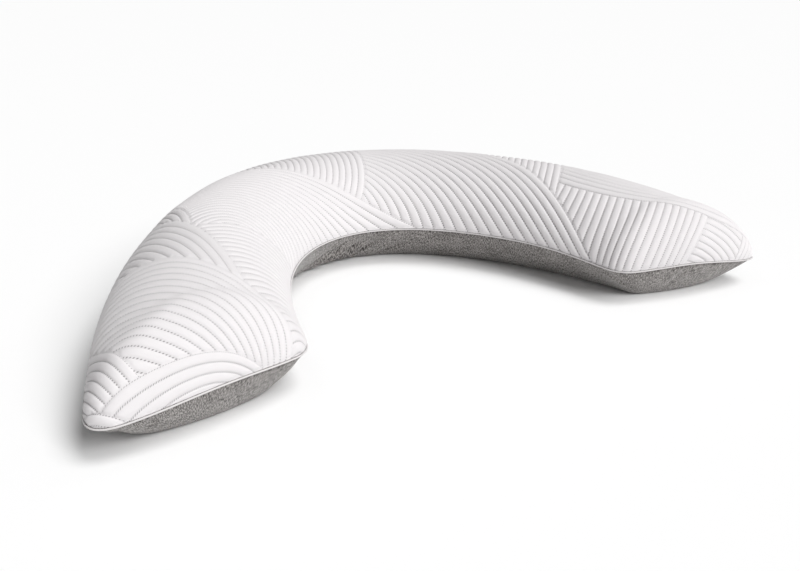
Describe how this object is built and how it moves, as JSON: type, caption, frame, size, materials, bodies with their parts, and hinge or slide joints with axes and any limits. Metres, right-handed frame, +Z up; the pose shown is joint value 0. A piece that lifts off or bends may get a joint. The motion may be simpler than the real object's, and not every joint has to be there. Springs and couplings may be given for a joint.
{
  "type": "body pillow",
  "caption": "Crescent-shaped body pillow lying on its back: a filled cushion in grey knit with a white quilted upper panel and thin white piping round the seam.",
  "frame": {"origin": "middle of the footprint's bounding box, on the surface that the pillow lies on", "axes": "+X from the left arm's tip to the right arm's tip, along the pillow's longest extent; +Y from the crescent's open side towards its rounded back; +Z up, from the grey underside to the white quilted panel"},
  "size_m": [1.1736, 0.7169, 0.192],
  "materials": {
    "white_knit": "matt white knit, wadded and quilted",
    "grey_knit": "matt heather grey jersey knit",
    "white_piping": "matt white covered cord"
  },
  "bodies": {
    "root": {"cushion": "grey_knit", "quilted_top": "white_knit", "piping": "white_piping"}
  },
  "joints": []
}
